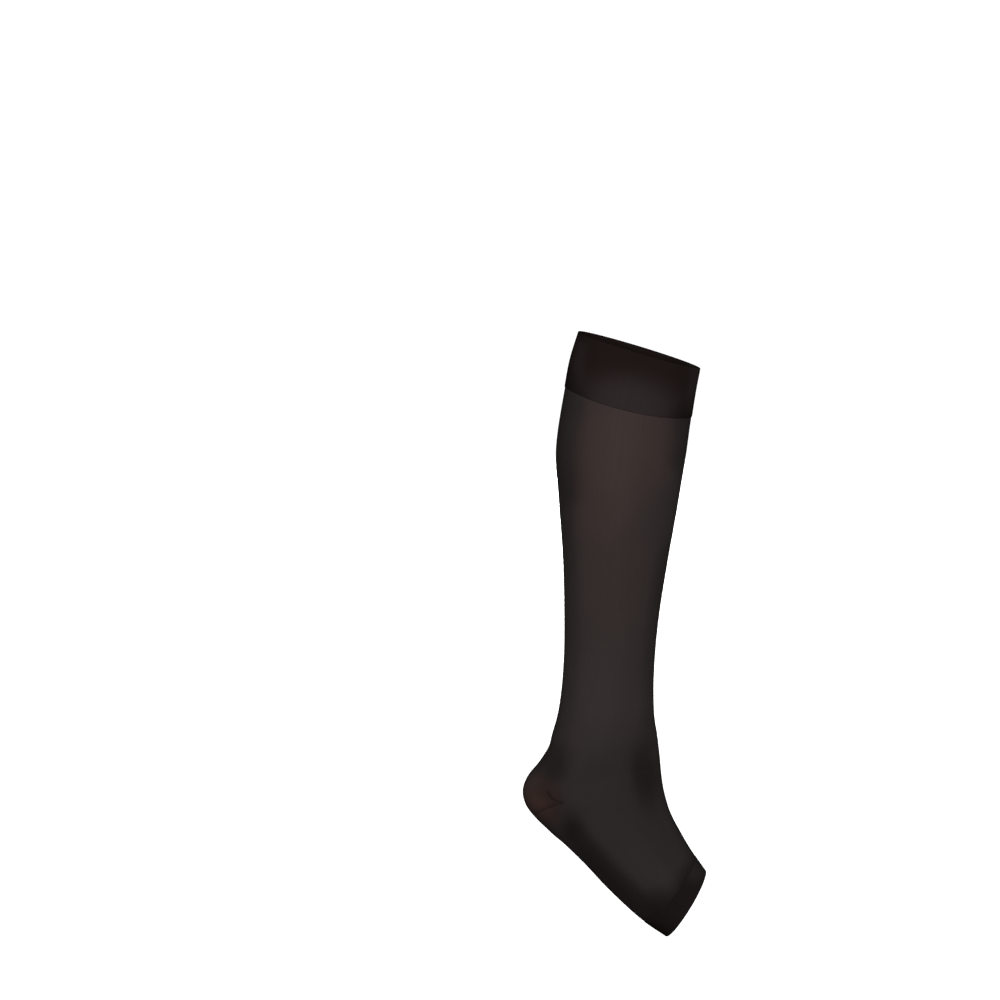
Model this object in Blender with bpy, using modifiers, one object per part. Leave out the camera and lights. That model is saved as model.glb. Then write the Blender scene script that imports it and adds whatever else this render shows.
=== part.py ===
"""Knee-high compression stocking with a closed heel and an open toe, as it is worn.

A Blender 4.5 script: blender --background --python part.py

Metres, +Z up, toes towards +X, the wearer's left towards +Y.  The origin is the
middle of the top opening, where the leg that wears the stocking carries it.  The
ankle is bent as it is when the wearer stands on the ball of the foot.

The cloth is one knitted tube.  Each section of the tube is a ring through four
points: the front and the back of the profile, and a point on either side where
the ring is widest.  A ring may bend at those side points, and at the ankle it
does: below the heel line the rings keep their front and their sides, and only
their backs fan out round the heel.  That fan is the heel pocket.
"""

import math
from collections import namedtuple

import bmesh
import bpy

MM = 0.001

# ------------------------------------------------------------- driving dimensions
SEAM_GAP = 0.3 * MM         # between two knitted pieces, along the cloth
KNIT_WALL = 1.2 * MM        # single knit: leg, heel and foot
TOP_BAND_WALL = 2.0 * MM    # double knit, folded inward at the top
TOP_BAND_PROUD = 0.7 * MM   # how far the band's outside stands off the leg's
TOE_BAND_WALL = 1.8 * MM    # double knit
TOE_BAND_PROUD = 0.4 * MM

RING_STEP = 13 * MM         # greatest distance between two rings of a tube
RING_SIDES = 40             # points round a whole ring, a multiple of 4
WELD = 0.01 * MM            # points nearer than this are one

# Where the knitting turns off towards the heel, in millimetres: x and z in profile.
INSTEP_BEND = (19.6, -361.0)    # in front of the ankle
HEEL_HINGE = (-58.0, -382.0)    # on either side, where the heel pocket starts
HEEL_WIDTH = 65
FRONT_OF_FOLD = 2.5

# Sections of the stocking from the top opening to the toe opening, in millimetres.
# front, side and back are x and z in profile.  width is the ring's full width at
# its sides.  front_power and back_power square off its halves: 2 is an ellipse, and
# a larger number gives a fuller instep or a flatter sole.  fold is how the ring bends
# in profile: 0 is one smooth curve, and 1 is two straight halves that meet at its sides.
Section = namedtuple("Section", "name front side back width front_power back_power fold")
SECTIONS = (
    Section("top opening", (53.2, -16.0), (0.0, 0.0), (-53.0, 16.0), 106, 2.0, 2.0, 0.0),
    Section("middle of band", (49.3, -37.0), (-6.5, -26.0), (-60.5, -8.5), 111, 2.0, 2.0, 0.0),
    Section("foot of band", (46.0, -58.5), (-11.0, -49.5), (-65.0, -32.5), 113, 2.0, 2.0, 0.0),
    Section("widest calf", (41.0, -95.5), (-16.5, -96.5), (-73.0, -88.0), 113, 2.0, 2.0, 0.0),
    Section("lower calf", (34.3, -138.0), (-18.5, -139.0), (-70.4, -133.0), 105, 2.0, 2.0, 0.0),
    Section("above ankle", (25.1, -191.0), (-21.0, -190.5), (-66.6, -187.0), 88, 2.0, 2.0, 0.0),
    Section("shin", (18.5, -234.0), (-24.0, -233.5), (-65.5, -232.0), 72, 2.0, 2.0, 0.0),
    Section("ankle", (14.6, -276.0), (-27.0, -276.0), (-66.0, -276.0), 61, 2.0, 2.0, 0.0),
    Section("below ankle", (13.8, -302.0), (-31.5, -304.0), (-68.1, -303.0), 61, 2.0, 2.0, 0.1),
    Section("ankle bones", (14.7, -326.0), (-38.5, -332.0), (-71.6, -325.0), 64, 2.15, 2.0, 0.3),
    Section("above heel", (17.6, -344.0), (-47.5, -357.0), (-76.7, -343.0), 66, 2.35, 2.0, 0.7),
    Section("heel line", INSTEP_BEND, HEEL_HINGE, (-80.5, -355.0), HEEL_WIDTH, FRONT_OF_FOLD, 2.1, 1.0),
    Section("upper heel", INSTEP_BEND, HEEL_HINGE, (-87.5, -366.0), HEEL_WIDTH, FRONT_OF_FOLD, 2.15, 1.0),
    Section("back of heel", INSTEP_BEND, HEEL_HINGE, (-98.0, -379.5), HEEL_WIDTH, FRONT_OF_FOLD, 2.2, 1.0),
    Section("heel tip", INSTEP_BEND, HEEL_HINGE, (-102.0, -391.0), HEEL_WIDTH, FRONT_OF_FOLD, 2.2, 1.0),
    Section("lower heel", INSTEP_BEND, HEEL_HINGE, (-99.5, -403.5), HEEL_WIDTH, FRONT_OF_FOLD, 2.2, 1.0),
    Section("under heel", INSTEP_BEND, HEEL_HINGE, (-92.0, -414.0), HEEL_WIDTH, FRONT_OF_FOLD, 2.25, 1.0),
    Section("sole line", INSTEP_BEND, HEEL_HINGE, (-81.0, -425.0), HEEL_WIDTH, FRONT_OF_FOLD, 2.3, 1.0),
    Section("instep", (22.2, -386.0), (-37.0, -410.0), (-65.0, -439.0), 66, 2.35, 2.4, 0.6),
    Section("arch", (28.3, -409.0), (-14.5, -435.0), (-47.5, -456.0), 67, 2.15, 2.5, 0.2),
    Section("mid foot", (38.3, -429.0), (6.0, -457.0), (-27.7, -477.3), 71, 2.0, 2.5, 0.0),
    Section("foot of toe band", (51.6, -451.0), (28.5, -482.0), (6.3, -508.4), 77, 2.0, 2.4, 0.0),
    Section("toe opening", (61.0, -464.5), (43.3, -493.0), (25.0, -521.2), 79, 2.0, 2.3, 0.0),
)
TOP_OPENING = "top opening"
BAND_FOOT = "foot of band"
HEEL_LINE = "heel line"
SOLE_LINE = "sole line"
TOE_BAND_FOOT = "foot of toe band"
TOE_OPENING = "toe opening"

QUARTER = RING_SIDES // 4
WHOLE_RING = range(RING_SIDES)
BACK_HALF = range(QUARTER, 3 * QUARTER + 1)

Finish = namedtuple("Finish", "colour roughness")
FINISHES = {
    "top_band": Finish((0.014, 0.011, 0.010), 0.75),
    "leg": Finish((0.026, 0.020, 0.018), 0.70),
    "heel": Finish((0.034, 0.018, 0.014), 0.70),
    "foot": Finish((0.022, 0.017, 0.016), 0.70),
    "toe_band": Finish((0.013, 0.010, 0.010), 0.75),
}


# ----------------------------------------------------------- sections of the tube
def numbers(section):
    """The section's sizes as one flat list, in metres but for its last three."""
    lengths = [*section.front, *section.side, *section.back, section.width]
    return [length * MM for length in lengths] + [*section[-3:]]


def profile_distance(section, other):
    """Mean of the distances between two sections at their front and their back."""
    return (math.dist(section.front, other.front) + math.dist(section.back, other.back)) * MM / 2


def slopes_at_sections(rows, places):
    """Slope of each number at each section, from the parabola through its neighbours."""
    chords = [
        [(b - a) / (places[i + 1] - places[i]) for a, b in zip(rows[i], rows[i + 1])]
        for i in range(len(rows) - 1)
    ]
    slopes = [chords[0]]
    for i in range(1, len(rows) - 1):
        before, after = places[i] - places[i - 1], places[i + 1] - places[i]
        slopes.append([(p * after + q * before) / (before + after)
                       for p, q in zip(chords[i - 1], chords[i])])
    slopes.append(chords[-1])
    return slopes


def sections_between(first, last):
    """Smoothly interpolated rows of numbers from one named section to another."""
    names = [section.name for section in SECTIONS]
    rows = [numbers(section) for section in SECTIONS]
    places = [0.0]
    for section, other in zip(SECTIONS, SECTIONS[1:]):
        places.append(places[-1] + profile_distance(section, other))
    slopes = slopes_at_sections(rows, places)

    start, end = names.index(first), names.index(last)
    result = [rows[start]]
    for i in range(start, end):
        span = places[i + 1] - places[i]
        steps = math.ceil(span / RING_STEP)
        for step in range(1, steps + 1):
            t = step / steps
            result.append([
                (1 + 2 * t) * (1 - t) ** 2 * a + t * (1 - t) ** 2 * span * slope_a
                + t * t * (3 - 2 * t) * b - t * t * (1 - t) * span * slope_b
                for a, b, slope_a, slope_b in zip(rows[i], rows[i + 1], slopes[i], slopes[i + 1])
            ])
    return result


def profile_point(front, side, back, reach, fold):
    """x or z at `reach` along a ring's profile: -1 is its back, 0 its sides, 1 its front."""
    curve = side + (front - back) / 2 * reach + ((front + back) / 2 - side) * reach ** 2
    straight = side + ((front if reach > 0 else back) - side) * abs(reach)
    return curve + (straight - curve) * fold


def ring_point(row, place):
    """Point number `place` of a ring: 0 is its front, and QUARTER is its left side."""
    front_x, front_z, side_x, side_z, back_x, back_z, width, front_power, back_power, fold = row
    angle = 2 * math.pi * place / RING_SIDES
    forward, leftward = round(math.cos(angle), 9), round(math.sin(angle), 9)
    exponent = 2 / (front_power if forward > 0 else back_power)
    reach = math.copysign(abs(forward) ** exponent, forward)
    across = math.copysign(abs(leftward) ** exponent, leftward)
    return (
        profile_point(front_x, side_x, back_x, reach, fold),
        width / 2 * across,
        profile_point(front_z, side_z, back_z, reach, fold),
    )


# ------------------------------------------------------------------ pieces of cloth
def loft(surface, rows, places):
    """Add the open surface through the rows' rings, or through a part of each ring."""
    closed = len(places) == RING_SIDES
    rings = [[surface.verts.new(ring_point(row, place)) for place in places] for row in rows]
    for upper, lower in zip(rings, rings[1:]):
        for i in range(len(places) if closed else len(places) - 1):
            j = (i + 1) % len(places)
            surface.faces.new((upper[i], lower[i], lower[j], upper[j]))
    bmesh.ops.remove_doubles(surface, verts=surface.verts, dist=WELD)
    surface.normal_update()


def inward_from(edge):
    """Unit vector along the surface, square to an open edge and away from it."""
    face = edge.link_faces[0]
    start, end = (vert.co for vert in edge.verts)
    inward = face.normal.cross(end - start).normalized()
    into_face = face.calc_center_median() - (start + end) / 2
    return inward if inward.dot(into_face) > 0 else -inward


def trim_open_edges(surface, trim):
    """Draw the surface's open edges back by `trim`, mitred at its corners."""
    moves = {}
    for vert in surface.verts:
        open_edges = [edge for edge in vert.link_edges if edge.is_boundary]
        if open_edges:
            bisector = inward_from(open_edges[0]) + inward_from(open_edges[1])
            moves[vert] = bisector * (2 * trim / bisector.length_squared)
    for vert, move in moves.items():
        vert.co += move


def knit_material(name, finish):
    """Plain material of one knitted piece."""
    material = bpy.data.materials.new(name + "_knit")
    material.use_nodes = True
    shader = material.node_tree.nodes["Principled BSDF"]
    shader.inputs["Base Color"].default_value = (*finish.colour, 1.0)
    shader.inputs["Roughness"].default_value = finish.roughness
    shader.inputs["Metallic"].default_value = 0.0
    material.diffuse_color = (*finish.colour, 1.0)
    return material


def knitted_piece(name, collection, first, last, places=WHOLE_RING, wall=KNIT_WALL, proud=0.0):
    """One piece of cloth between two named sections, with its wall laid inward.

    `proud` is how far its outside stands off the surface that the sections give.
    """
    surface = bmesh.new()
    loft(surface, sections_between(first, last), places)
    trim_open_edges(surface, SEAM_GAP / 2)
    mesh = bpy.data.meshes.new(name)
    surface.to_mesh(mesh)
    surface.free()
    mesh.shade_smooth()
    mesh.materials.append(knit_material(name, FINISHES[name]))

    piece = bpy.data.objects.new(name, mesh)
    collection.objects.link(piece)
    solidify = piece.modifiers.new("wall", "SOLIDIFY")
    solidify.thickness = wall
    solidify.offset = 2 * proud / wall - 1
    return piece


def clear_scene():
    """Remove every object of the scene that the script starts in."""
    for existing in list(bpy.data.objects):
        bpy.data.objects.remove(existing, do_unlink=True)


def main():
    """Model the stocking in its own collection, one object for each knitted piece."""
    clear_scene()
    stocking = bpy.data.collections.new("compression_stocking")
    bpy.context.scene.collection.children.link(stocking)
    knitted_piece("top_band", stocking, TOP_OPENING, BAND_FOOT,
                  wall=TOP_BAND_WALL, proud=TOP_BAND_PROUD)
    knitted_piece("leg", stocking, BAND_FOOT, HEEL_LINE)
    knitted_piece("heel", stocking, HEEL_LINE, SOLE_LINE, places=BACK_HALF)
    knitted_piece("foot", stocking, SOLE_LINE, TOE_BAND_FOOT)
    knitted_piece("toe_band", stocking, TOE_BAND_FOOT, TOE_OPENING,
                  wall=TOE_BAND_WALL, proud=TOE_BAND_PROUD)


main()
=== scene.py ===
"""Looks of a knee-high compression stocking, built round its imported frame.

The stocking keeps the form that it has when worn: a fine half-sheer knitted tube with
a doubled top band, a closed heel pocket and an open, banded toe.  The tube is cut into
leg, heel and foot, which share their edges and their shading, and each becomes a thin
shell of cloth on the form of the solid that it stands for.

Metres, +Z up, toes towards +X, the wearer's left towards +Y.  Sizes of cloth are given
in millimetres and multiplied by MM.
"""

import logging
import math
from collections.abc import Iterable, Sequence
from dataclasses import dataclass, replace
from enum import Enum, IntEnum

import bpy
import numpy as np
from bpy.types import ID, Material, Node, NodeOutputs, NodeSocket, NodeTree, Object
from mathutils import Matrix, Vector
from mathutils.bvhtree import BVHTree


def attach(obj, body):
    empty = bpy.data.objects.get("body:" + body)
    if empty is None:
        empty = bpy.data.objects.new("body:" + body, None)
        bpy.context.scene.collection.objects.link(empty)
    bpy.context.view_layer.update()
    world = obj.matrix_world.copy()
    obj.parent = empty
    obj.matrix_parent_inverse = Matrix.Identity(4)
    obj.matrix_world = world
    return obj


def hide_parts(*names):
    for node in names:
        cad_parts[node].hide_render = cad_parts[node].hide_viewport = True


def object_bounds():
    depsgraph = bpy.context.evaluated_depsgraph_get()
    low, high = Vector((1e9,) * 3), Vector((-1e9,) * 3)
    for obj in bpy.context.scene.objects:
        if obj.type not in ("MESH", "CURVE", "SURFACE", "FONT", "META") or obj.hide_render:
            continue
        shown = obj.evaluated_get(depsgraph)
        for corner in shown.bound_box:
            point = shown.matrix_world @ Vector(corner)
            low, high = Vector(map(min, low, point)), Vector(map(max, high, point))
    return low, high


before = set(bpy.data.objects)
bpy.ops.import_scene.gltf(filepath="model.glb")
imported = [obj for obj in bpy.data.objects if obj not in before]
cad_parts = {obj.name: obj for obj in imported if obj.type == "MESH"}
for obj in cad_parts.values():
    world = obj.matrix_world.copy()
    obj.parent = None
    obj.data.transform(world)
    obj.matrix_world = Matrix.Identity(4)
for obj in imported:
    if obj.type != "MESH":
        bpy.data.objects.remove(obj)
CAD_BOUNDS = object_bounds()

MM = 0.001
BODY = "root"
LOG = logging.getLogger("stocking")
UV_NAME = "knit"                    # the map that counts a piece's stitches
OUT_NAME = "out"                    # the attribute that holds which way is off the cloth
WALES = 360                         # stitches round the tube
COURSE = 0.6 * MM                   # height of one stitch
WELD = 0.001 * MM                   # points nearer than this are one point
PROBE_STEP = 0.02 * MM              # between the places where a line on the cloth is looked for
WHITE = (1.0, 1.0, 1.0, 1.0)

Profile = tuple[float, float]       # x and z in profile, in millimetres
Course = tuple[Profile, ...]        # a bent line in profile
Colour = tuple[float, float, float]


# ------------------------------------------------------------------ the worn form
@dataclass(frozen=True)
class Section:
    """One ring of the tube, in millimetres.

    front, side and back are x and z in profile, and width is the ring's full width at
    its sides.  front_power and back_power square off its halves: 2 is an ellipse, and
    more gives a fuller instep or a flatter sole.  fold is how the ring bends in profile:
    0 is one smooth curve, and 1 is two straight halves that meet at its sides.
    """

    name: str
    front: Profile
    side: Profile
    back: Profile
    width: float
    front_power: float = 2.0
    back_power: float = 2.0
    fold: float = 0.0

    def numbers(self) -> list[float]:
        """The section's sizes as one flat list, in metres but for its last three."""
        lengths = [*self.front, *self.side, *self.back, self.width]
        return [length * MM for length in lengths] + [self.front_power, self.back_power, self.fold]


class Column(IntEnum):
    """Where a section's numbers stand in its list.  A point is two of them: x, then z."""

    FRONT = 0
    SIDE = 2
    BACK = 4
    WIDTH = 6
    FRONT_POWER = 7
    BACK_POWER = 8
    FOLD = 9


INSTEP_BEND: Profile = (19.6, -361.0)   # in front of the ankle
HEEL_HINGE: Profile = (-58.0, -382.0)   # on either side, where the heel pocket starts
TOP_OPENING = "top opening"
BAND_MIDDLE = "middle of band"
BAND_FOOT = "foot of band"
HEEL_LINE = "heel line"
SOLE_LINE = "sole line"
TOE_BAND_FOOT = "foot of toe band"
TOE_OPENING = "toe opening"


def pocket_section(name: str, back: Profile, back_power: float) -> Section:
    """A ring of the heel pocket.  They all turn about one hinge, so only their backs differ.

    Args:
        name: its name.
        back: x and z of its back, in millimetres.
        back_power: how far its back half is squared off.

    Returns:
        The section.
    """
    return Section(
        name, INSTEP_BEND, HEEL_HINGE, back, width=65, front_power=2.5, back_power=back_power, fold=1.0
    )


SECTIONS = (
    Section(TOP_OPENING, (53.2, -16.0), (0.0, 0.0), (-53.0, 16.0), 106),
    Section(BAND_MIDDLE, (49.3, -37.0), (-6.5, -26.0), (-60.5, -8.5), 111),
    Section(BAND_FOOT, (46.0, -58.5), (-11.0, -49.5), (-65.0, -32.5), 113),
    Section("widest calf", (41.0, -95.5), (-16.5, -96.5), (-73.0, -88.0), 113),
    Section("lower calf", (34.3, -138.0), (-18.5, -139.0), (-70.4, -133.0), 105),
    Section("above ankle", (25.1, -191.0), (-21.0, -190.5), (-66.6, -187.0), 88),
    Section("shin", (18.5, -234.0), (-24.0, -233.5), (-65.5, -232.0), 72),
    Section("ankle", (14.6, -276.0), (-27.0, -276.0), (-66.0, -276.0), 61),
    Section("below ankle", (13.8, -302.0), (-31.5, -304.0), (-68.1, -303.0), 61, 2.0, 2.0, 0.1),
    Section("ankle bones", (14.7, -326.0), (-38.5, -332.0), (-71.6, -325.0), 64, 2.15, 2.0, 0.3),
    Section("above heel", (17.6, -344.0), (-47.5, -357.0), (-76.7, -343.0), 66, 2.35, 2.0, 0.7),
    pocket_section(HEEL_LINE, (-80.5, -355.0), 2.1),
    pocket_section("upper heel", (-87.5, -366.0), 2.15),
    pocket_section("back of heel", (-98.0, -379.5), 2.2),
    pocket_section("heel tip", (-102.0, -391.0), 2.2),
    pocket_section("lower heel", (-99.5, -403.5), 2.2),
    pocket_section("under heel", (-92.0, -414.0), 2.25),
    pocket_section(SOLE_LINE, (-81.0, -425.0), 2.3),
    Section("instep", (22.2, -386.0), (-37.0, -410.0), (-65.0, -439.0), 66, 2.35, 2.4, 0.6),
    Section("arch", (28.3, -409.0), (-14.5, -435.0), (-47.5, -456.0), 67, 2.15, 2.5, 0.2),
    Section("mid foot", (38.3, -429.0), (6.0, -457.0), (-27.7, -477.3), 71, 2.0, 2.5),
    Section(TOE_BAND_FOOT, (51.6, -451.0), (28.5, -482.0), (6.3, -508.4), 77, 2.0, 2.4),
    Section(TOE_OPENING, (61.0, -464.5), (43.3, -493.0), (25.0, -521.2), 79, 2.0, 2.3),
)


@dataclass(frozen=True)
class StockingForm:
    """The smooth surface that all of the cloth lies on, as rings of points.

    A ring starts at its front and runs towards the wearer's left.
    """

    sections: tuple[Section, ...] = SECTIONS
    columns: int = 320

    def _table(self) -> tuple[np.ndarray, np.ndarray, np.ndarray]:
        """Sections as numbers.

        Returns:
            The rows of numbers, the place of each along the tube, and the slope of each
            number there, from the parabola through its neighbours.
        """
        rows = np.array([section.numbers() for section in self.sections])
        front_steps, back_steps = (
            np.linalg.norm(np.diff(rows[:, first : first + 2], axis=0), axis=1)
            for first in (Column.FRONT, Column.BACK)
        )
        spans = (front_steps + back_steps) / 2
        places = np.concatenate([[0.0], np.cumsum(spans)])
        chords = np.diff(rows, axis=0) / spans[:, None]
        before, after = spans[:-1, None], spans[1:, None]
        inner = (chords[:-1] * after + chords[1:] * before) / (before + after)
        return rows, places, np.vstack([chords[:1], inner, chords[-1:]])

    def rows(self, first: str, last: str, step: float) -> np.ndarray:
        """Smoothly interpolated rows of numbers from one named section to another.

        Args:
            first: name of the section that the rows start at.
            last: name of the section that they end at.
            step: greatest distance between two rows, in metres.

        Returns:
            One row of section numbers for each ring.
        """
        names = [section.name for section in self.sections]
        rows, places, slopes = self._table()
        start, end = names.index(first), names.index(last)
        result = [rows[start : start + 1]]
        for i in range(start, end):
            span = places[i + 1] - places[i]
            steps = math.ceil(span / step)
            t = (np.arange(1, steps + 1) / steps)[:, None]
            result.append(
                (1 + 2 * t) * (1 - t) ** 2 * rows[i]
                + t * (1 - t) ** 2 * span * slopes[i]
                + t * t * (3 - 2 * t) * rows[i + 1]
                - t * t * (1 - t) * span * slopes[i + 1]
            )
        return np.vstack(result)

    def rings(self, rows: np.ndarray) -> np.ndarray:
        """Points of the rings.

        Args:
            rows: section numbers, one row for each ring.

        Returns:
            Points as an array of rings x columns x 3, in metres.
        """
        angles = 2 * np.pi * np.arange(self.columns) / self.columns
        forward, leftward = (np.round(wave(angles), 9) for wave in (np.cos, np.sin))     # 0 is exact
        exponent = 2 / np.where(forward > 0, rows[:, [Column.FRONT_POWER]], rows[:, [Column.BACK_POWER]])
        reach = np.sign(forward) * np.abs(forward) ** exponent
        across = np.sign(leftward) * np.abs(leftward) ** exponent
        width, fold = rows[:, [Column.WIDTH]], rows[:, [Column.FOLD]]
        x, z = (self._profile(rows, axis, reach, fold) for axis in (0, 1))
        return np.stack([x, width / 2 * across, z], axis=-1)

    @staticmethod
    def _profile(rows: np.ndarray, axis: int, reach: np.ndarray, fold: np.ndarray) -> np.ndarray:
        """x or z of ring points in profile.

        Args:
            rows: section numbers.
            axis: 0 for x, 1 for z.
            reach: -1 at a ring's back, 0 at its sides and 1 at its front.
            fold: how far each ring is two straight halves instead of one curve.

        Returns:
            The coordinate of every point, in metres.
        """
        front, side, back = (rows[:, [first + axis]] for first in (Column.FRONT, Column.SIDE, Column.BACK))
        curve = side + (front - back) / 2 * reach + ((front + back) / 2 - side) * reach**2
        straight = side + (np.where(reach > 0, front, back) - side) * np.abs(reach)
        return curve + (straight - curve) * fold


def unit(vectors: np.ndarray) -> np.ndarray:
    """The vectors at a length of 1."""
    return vectors / np.maximum(np.linalg.norm(vectors, axis=-1, keepdims=True), 1e-12)


def smooth_step(values: np.ndarray, low: float, high: float) -> np.ndarray:
    """0 below low, 1 above high, and an even curve between them."""
    t = np.clip((values - low) / (high - low), 0, 1)
    return t * t * (3 - 2 * t)


# --------------------------------------------------------------- creases and tints
class Side(Enum):
    """Which side of the stocking a line on the cloth lies on."""

    RIGHT = -1
    LEFT = 1
    BOTH = 0

    def share(self, across: np.ndarray) -> np.ndarray:
        """How much of it falls on points that lie `across` metres to the left."""
        blend = 8 * MM
        return np.ones_like(across) if self is Side.BOTH else smooth_step(self.value * across, -blend, blend)


class Tone(Enum):
    """How some of the cloth differs from the rest, in its own colour or in painted light and shade: the name
    of its attribute.
    """

    # painted light: lighter where a sheen or the lamps would light the cloth
    LIGHT = "light"
    SHEER = "sheer"
    THIN = "thin"
    # stretched thin, and painted lighter where the heel faces down from the lamps
    STRETCHED_AND_LIT = "stretched"
    # denser cloth, and painted shade where the cloth turns from the lamps or lies in a hollow
    DENSE_AND_SHADE = "dense_and_shade"
    # painted shade: darker by up to half where the cloth turns from the lamps
    SHADED = "shaded"


@dataclass(frozen=True)
class Trace:
    """A bent line in profile that something on the cloth follows."""

    course: Course

    def nearest(self, points: np.ndarray) -> tuple[np.ndarray, np.ndarray]:
        """How the points lie to the line, as seen in profile.

        Args:
            points: points of the cloth, in metres.

        Returns:
            Distances from the line in metres, and the share of the line's length at
            which each point comes nearest to it.
        """
        flat = points[:, [0, 2]]
        corners = np.array(self.course) * MM
        lengths = np.linalg.norm(np.diff(corners, axis=0), axis=1)
        nearest = np.full(len(points), np.inf)
        along = np.zeros(len(points))
        for i, length in enumerate(lengths):
            direction = (corners[i + 1] - corners[i]) / length
            reach = np.clip((flat - corners[i]) @ direction, 0, length)
            distance = np.linalg.norm(flat - corners[i] - reach[:, None] * direction, axis=1)
            closer = distance < nearest
            nearest = np.where(closer, distance, nearest)
            along = np.where(closer, (lengths[:i].sum() + reach) / lengths.sum(), along)
        return nearest, along


@dataclass(frozen=True)
class Crease(Trace):
    """A soft trough in the cloth along a line, or a ridge where depth is negative: millimetres."""

    depth: float
    width: float
    side: Side = Side.BOTH
    taper: float = 0.7              # below 1 it keeps its depth further towards its ends

    def depth_at(self, points: np.ndarray) -> np.ndarray:
        """How deep the crease is at each point.

        Args:
            points: points of the cloth, in metres.

        Returns:
            Depths in metres, which fade out at both ends of the crease.
        """
        distance, along = self.nearest(points)
        fade = np.sin(np.pi * along) ** self.taper
        cross_section = np.exp(-((distance / (self.width * MM)) ** 2))
        return self.depth * MM * fade * cross_section * self.side.share(points[:, 1])


@dataclass(frozen=True)
class Strip(Trace):
    """A tint along a line, which fades out at `width` millimetres: the faster, the higher `edge` is."""

    tone: Tone
    amount: float
    width: float
    edge: float = 2.0

    def amount_at(self, points: np.ndarray) -> np.ndarray:
        """How strongly the tint shows at each point, from 0 to the strip's amount."""
        distance, _ = self.nearest(points)
        return self.amount * np.exp(-((distance / (self.width * MM)) ** self.edge))


@dataclass(frozen=True)
class Patch:
    """A tint over a soft-edged oval of cloth in profile: millimetres, turned by degrees."""

    centre: Profile
    reach: tuple[float, float]
    turn: float
    tone: Tone
    amount: float
    edge: float = 2.0

    def amount_at(self, points: np.ndarray) -> np.ndarray:
        """How strongly the tint shows at each point.

        Args:
            points: points of the cloth, in metres.

        Returns:
            Shares from 0 to the patch's amount.
        """
        offset = points[:, [0, 2]] - np.array(self.centre) * MM
        angle = math.radians(self.turn)
        along = offset @ np.array([math.cos(angle), math.sin(angle)])
        aside = offset @ np.array([-math.sin(angle), math.cos(angle)])
        radius = np.hypot(along / (self.reach[0] * MM), aside / (self.reach[1] * MM))
        return self.amount * np.exp(-(radius**self.edge))


def total_of(tone: Tone, points: np.ndarray) -> np.ndarray:
    """How strongly one tone shows on the cloth.

    Args:
        tone: which of the tints count.
        points: points of the cloth, in metres.

    Returns:
        Shares from 0 to 1.
    """
    rest = np.ones(len(points))
    for tint in TINTS:
        if tint.tone is tone:
            rest *= 1 - tint.amount_at(points)
    return 1 - rest


# Lines of the heel pocket: its lower suture, the hook that its narrowing leaves above
# the corner where the two sutures meet, and its upper suture.
SUTURE: Course = (
    (-67.5, -397.5), (-73.7, -399.5), (-79.9, -402.5), (-86, -406), (-92.4, -410.5),
)
NARROWING: Course = (
    (-80.3, -387.5), (-78.6, -391.3), (-76, -394.6), (-72, -396), (-67.5, -396.8),
)
UPPER_SUTURE: Course = ((-90, -371), (-84.5, -379), (-79.5, -387))

SHIN: Course = (
    (27, -180), (25, -191), (18.5, -234), (14.6, -276), (14, -305), (19.6, -361), (28.3, -409),
    (38.3, -429), (52, -451),
)
BACK_OF_LEG: Course = (
    (-66, -28), (-73, -88), (-70.4, -133), (-66.5, -187), (-65.5, -232), (-66, -276),
    (-71.6, -325), (-82, -358),
)
FRONT_OF_BAND: Course = ((52.5, -8), (46, -50))
BACK_OF_BAND: Course = ((-53, 4), (-58, -36))
FRONT_OF_CALF: Course = ((45, -62), (42, -88))
BACK_OF_CALF: Course = ((-67, -46), (-73, -88), (-71.5, -118))
SOLE: Course = (
    (-56, -424), (-48, -434.5), (-39, -445.5), (-19.5, -466.5), (13.5, -497), (31, -509),
)
TOE_EDGE: Course = ((57, -473), (44, -492), (25, -522))

CREASES = (
    Crease(SUTURE, 0.5, 1.3),
    Crease(NARROWING, 0.4, 1.3),
    Crease(UPPER_SUTURE, -0.25, 2.0),
    Crease(((-3, -338), (5, -352), (3, -372), (9, -392)), 1.1, 8.0, Side.RIGHT),
    Crease(((-5, -334), (3, -350), (2, -368), (8, -388)), 0.9, 9.0, Side.LEFT),
    Crease(((18, -352), (4, -358), (-12, -356)), 0.35, 3.2),
    Crease(((20, -366), (8, -371), (-8, -368)), 0.3, 2.8, Side.RIGHT),
    Crease(((20, -369), (9, -375), (-6, -373)), 0.3, 3.0, Side.LEFT),
    Crease(((-70, -346), (-63, -354), (-55, -367)), 0.5, 5.0, Side.RIGHT),
    Crease(((-70, -349), (-64, -356), (-57, -371)), 0.45, 5.0, Side.LEFT),
    Crease(((-70, -318), (-58, -326), (-44, -330)), 0.2, 3.5, Side.RIGHT),
    Crease(((-69, -312), (-57, -321), (-40, -327)), 0.2, 3.5, Side.LEFT),
    Crease(((-64, -62), (-40, -74), (-12, -80)), 0.2, 4.0, Side.RIGHT),
    Crease(((-66, -68), (-45, -78), (-20, -81)), 0.2, 4.5, Side.LEFT),
)

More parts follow.
